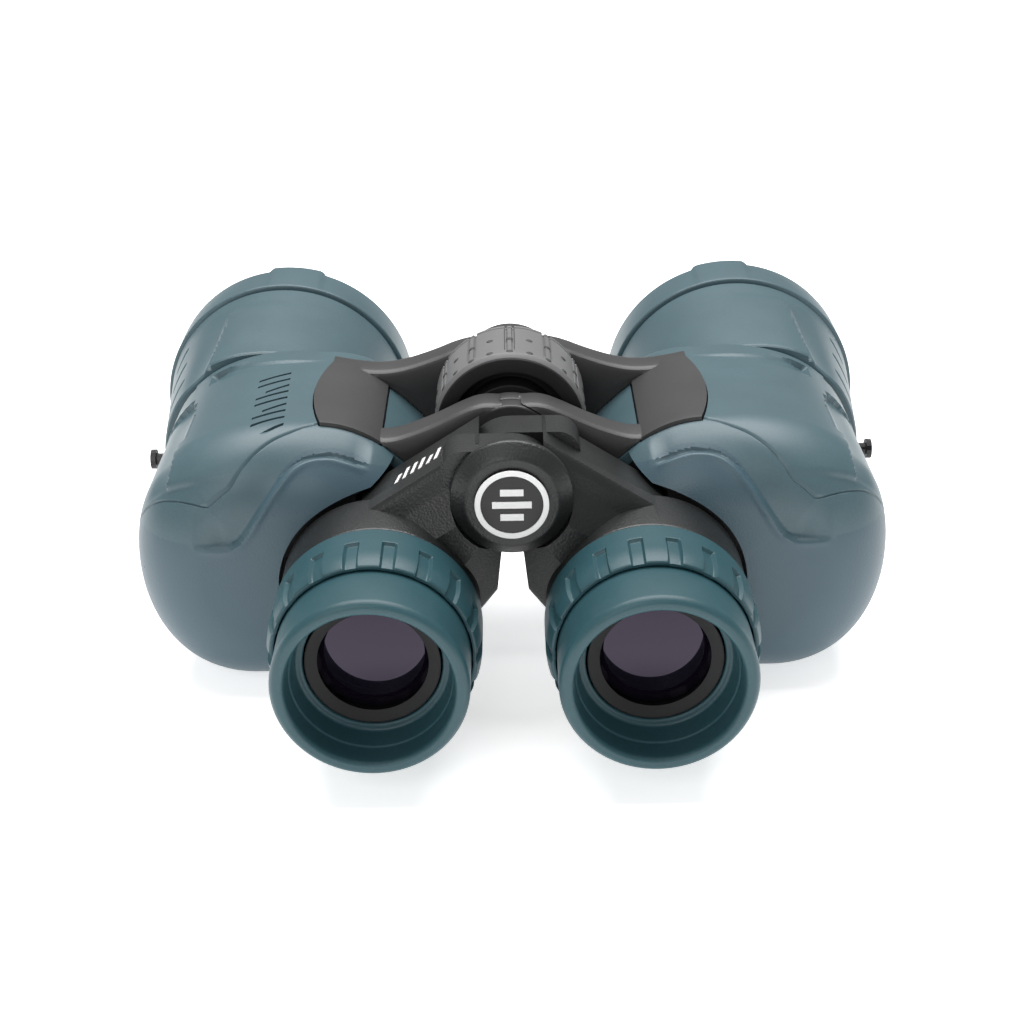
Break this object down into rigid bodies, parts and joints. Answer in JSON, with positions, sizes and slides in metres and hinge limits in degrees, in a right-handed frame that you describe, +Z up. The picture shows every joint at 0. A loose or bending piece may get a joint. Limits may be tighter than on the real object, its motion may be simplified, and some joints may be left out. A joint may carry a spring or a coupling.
{
  "type": "binoculars",
  "caption": "Porro-prism binoculars with rubber armour, a folding centre hinge, a centre focus wheel and twist-up eyecups.",
  "frame": {"origin": "middle of the footprint, on the surface that the binoculars lie on", "axes": "+X to the user's right, +Y from the eyepieces towards the objectives, +Z up"},
  "size_m": [0.197, 0.1674, 0.0773],
  "materials": {
    "teal_rubber": "fine matt rubber armour",
    "green_rubber": "smooth rubber",
    "black_plastic": "textured black paint",
    "grey_plastic": "smooth dark grey",
    "grey_rubber": "ribbed grey rubber",
    "black_metal": "satin black",
    "steel": "plain",
    "coated_glass": "purple anti-reflection coating",
    "prism_glass": "polished",
    "white_print": "gloss"
  },
  "bodies": {
    "left_half": {"left_prism_frame": "black_metal", "left_rear_cover": "teal_rubber", "left_housing_armour": "teal_rubber", "left_barrel_armour": "teal_rubber", "left_objective_tube": "black_metal", "left_objective_bezel": "teal_rubber", "left_objective_lens": "coated_glass", "left_objective_lens_ring": "black_metal", "left_rear_prism": "prism_glass", "left_front_prism": "prism_glass", "left_rear_prism_clip": "steel", "left_front_prism_clip": "steel", "left_prism_shelf": "steel", "left_eyepiece_guide": "black_metal", "left_strap_lug": "steel", "left_hinge_bracket": "grey_plastic", "hinge_axle": "steel", "front_cap": "black_plastic"},
    "right_half": {"right_prism_frame": "black_metal", "right_rear_cover": "teal_rubber", "right_housing_armour": "teal_rubber", "right_barrel_armour": "teal_rubber", "right_objective_tube": "black_metal", "right_objective_bezel": "teal_rubber", "right_objective_lens": "coated_glass", "right_objective_lens_ring": "black_metal", "right_rear_prism": "prism_glass", "right_front_prism": "prism_glass", "right_rear_prism_clip": "steel", "right_front_prism_clip": "steel", "right_prism_shelf": "steel", "right_eyepiece_guide": "black_metal", "right_strap_lug": "steel", "right_hinge_bracket": "grey_plastic"},
    "left_bridge": {"left_bridge_arm": "black_plastic", "left_grip_ring": "green_rubber", "left_eyepiece_barrel": "black_metal", "left_eye_lens": "coated_glass", "left_field_lens": "coated_glass", "left_eye_lens_ring": "black_metal", "focus_screw": "black_metal", "rear_cap": "black_plastic", "badge": "white_print"},
    "left_eyecup": {"left_eyecup": "green_rubber"},
    "right_bridge": {"right_bridge_arm": "black_plastic"},
    "dioptre_ring": {"right_dioptre_ring": "green_rubber"},
    "right_eyepiece": {"right_eyepiece_barrel": "black_metal", "right_eye_lens": "coated_glass", "right_field_lens": "coated_glass", "right_eye_lens_ring": "black_metal"},
    "right_eyecup": {"right_eyecup": "green_rubber"},
    "focus_wheel": {"focus_wheel": "black_plastic", "focus_wheel_grip": "grey_rubber"}
  },
  "joints": [
    {"name": "eye_spacing_fold", "type": "hinge", "parent": "left_half", "child": "right_half", "pos_m": [0, 0, 0.0586], "axis": [0, -1, 0], "range_deg": [-11.4, 22.4]},
    {"name": "focus_turn", "type": "hinge", "parent": "left_half", "child": "focus_wheel", "pos_m": [0, 0, 0.0586], "axis": [0, 1, 0], "range_deg": [-271, 181]},
    {"name": "left_focus_slide", "type": "slide", "parent": "left_half", "child": "left_bridge", "axis": [0, 1, 0], "range_m": [-0.006, 0.004]},
    {"name": "right_focus_slide", "type": "slide", "parent": "right_half", "child": "right_bridge", "axis": [0, 1, 0], "range_m": [-0.0061, 0.0041]},
    {"name": "dioptre_turn", "type": "hinge", "parent": "right_bridge", "child": "dioptre_ring", "pos_m": [0.031, 0, 0.03], "axis": [0, 1, 0], "range_deg": [-61, 61]},
    {"name": "dioptre_shift", "type": "slide", "parent": "right_bridge", "child": "right_eyepiece", "axis": [0, 1, 0], "range_m": [-0.0015, 0.0015]},
    {"name": "left_eyecup_slide", "type": "slide", "parent": "left_bridge", "child": "left_eyecup", "axis": [0, 1, 0], "range_m": [0, 0.007]},
    {"name": "right_eyecup_slide", "type": "slide", "parent": "right_eyepiece", "child": "right_eyecup", "axis": [0, 1, 0], "range_m": [0, 0.007]}
  ],
  "couplings": [
    {"joint": "focus_turn", "follows": "left_focus_slide", "rad_per_m": 785.4},
    {"joint": "right_focus_slide", "follows": "left_focus_slide", "ratio": 1},
    {"joint": "dioptre_turn", "follows": "dioptre_shift", "rad_per_m": 698.13}
  ]
}
